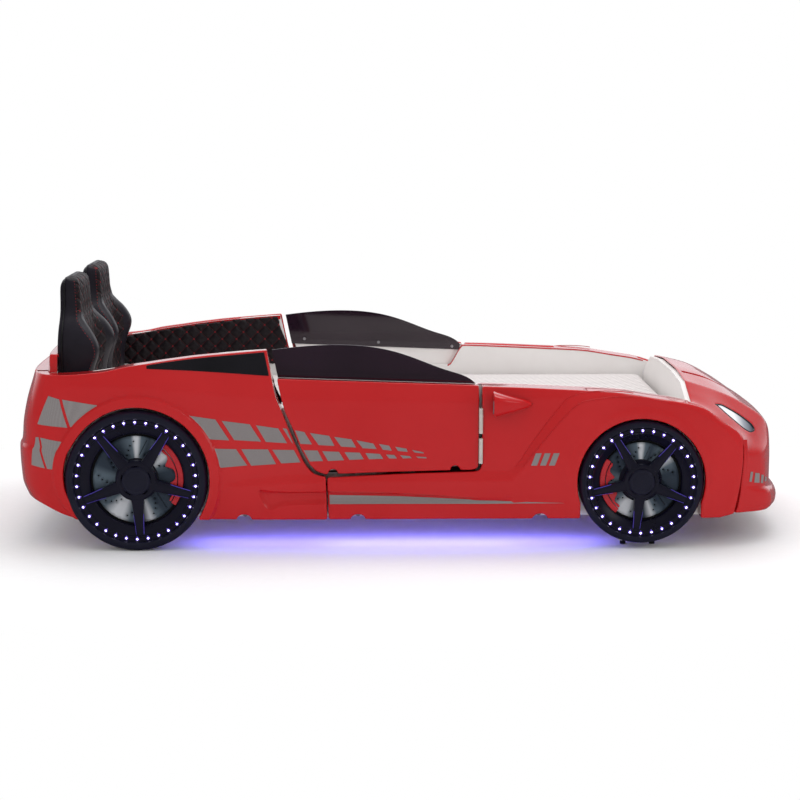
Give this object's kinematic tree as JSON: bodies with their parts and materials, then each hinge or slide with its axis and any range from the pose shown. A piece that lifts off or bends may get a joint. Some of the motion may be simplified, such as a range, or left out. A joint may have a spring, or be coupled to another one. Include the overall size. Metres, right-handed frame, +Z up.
{
  "type": "children's car bed",
  "caption": "Car-shaped single bed for a child, with hinged side doors, smoke windows, lit wheels, bucket backrests, quilted lining and a slatted mattress base.",
  "frame": {"origin": "on the floor under the middle of the bed", "axes": "+X to the car's nose, +Y to the car's left side, +Z up"},
  "size_m": [2.4041, 1.2266, 0.82],
  "materials": {
    "body_red": "glossy moulded skin",
    "gloss_black": "gloss black",
    "white_board": "white faced board",
    "smoke": "dark smoke acrylic",
    "leatherette": "black leatherette with red stitching",
    "ply": "plain wood",
    "mattress_cover": "knitted cover",
    "tyre_black": "black",
    "rim_black": "gloss black",
    "light_beads": "lit strip",
    "disc_silver": "silver painted",
    "caliper_red": "red painted",
    "steel": "plated",
    "lamp_clear": "clear lens",
    "lamp_dark": "dark tray",
    "mirror_face": "mirror",
    "glide_black": "moulded"
  },
  "bodies": {
    "bed": {"brake_calipers": "caliper_red", "brake_discs": "disc_silver", "bulkhead": "white_board", "door_catches": "gloss_black", "frame_hinge_leaves": "steel", "front_cover": "body_red", "front_side_cover_left": "body_red", "front_side_cover_right": "body_red", "glides": "glide_black", "headlamp_lens_left": "lamp_clear", "headlamp_lens_right": "lamp_clear", "headlamp_trays": "lamp_dark", "hinge_posts": "ply", "hub_caps": "rim_black", "led_strip_front_left": "light_beads", "led_strip_front_right": "light_beads", "led_strip_rear_left": "light_beads", "led_strip_rear_right": "light_beads", "light_controller": "gloss_black", "mattress": "mattress_cover", "mirror_glasses": "mirror_face", "mirror_housing_left": "body_red", "mirror_housing_right": "body_red", "nose_board": "white_board", "quarter_window_left": "gloss_black", "quarter_window_right": "gloss_black", "rear_cover": "body_red", "rear_quarter_cover_left": "body_red", "rear_quarter_cover_right": "body_red", "rim_front_left": "rim_black", "rim_front_right": "rim_black", "rim_rear_left": "rim_black", "rim_rear_right": "rim_black", "seat_back_board_left": "gloss_black", "seat_back_board_right": "gloss_black", "seat_cushion_left": "leatherette", "seat_cushion_right": "leatherette", "side_board_left": "white_board", "side_board_right": "white_board", "side_lining_left": "leatherette", "side_lining_right": "leatherette", "sill_bolts": "steel", "slat_rails": "ply", "slats": "ply", "tail_board": "white_board", "tyre_front_left": "tyre_black", "tyre_front_right": "tyre_black", "tyre_rear_left": "tyre_black", "tyre_rear_right": "tyre_black", "under_light_strips": "light_beads"},
    "right_door": {"door_skin_right": "body_red", "door_board_right": "white_board", "door_window_right": "smoke", "window_screws_right": "gloss_black", "door_hinge_leaves_right": "steel"},
    "left_door": {"door_skin_left": "body_red", "door_board_left": "white_board", "door_window_left": "smoke", "window_screws_left": "gloss_black", "door_hinge_leaves_left": "steel"}
  },
  "joints": [
    {"name": "right_door_hinge", "type": "hinge", "parent": "bed", "child": "right_door", "pos_m": [0.229, -0.546, 0.3525], "axis": [0, 0, 1], "range_deg": [0, 90]},
    {"name": "left_door_hinge", "type": "hinge", "parent": "bed", "child": "left_door", "pos_m": [0.229, 0.546, 0.3525], "axis": [0, 0, -1], "range_deg": [0, 90]}
  ]
}
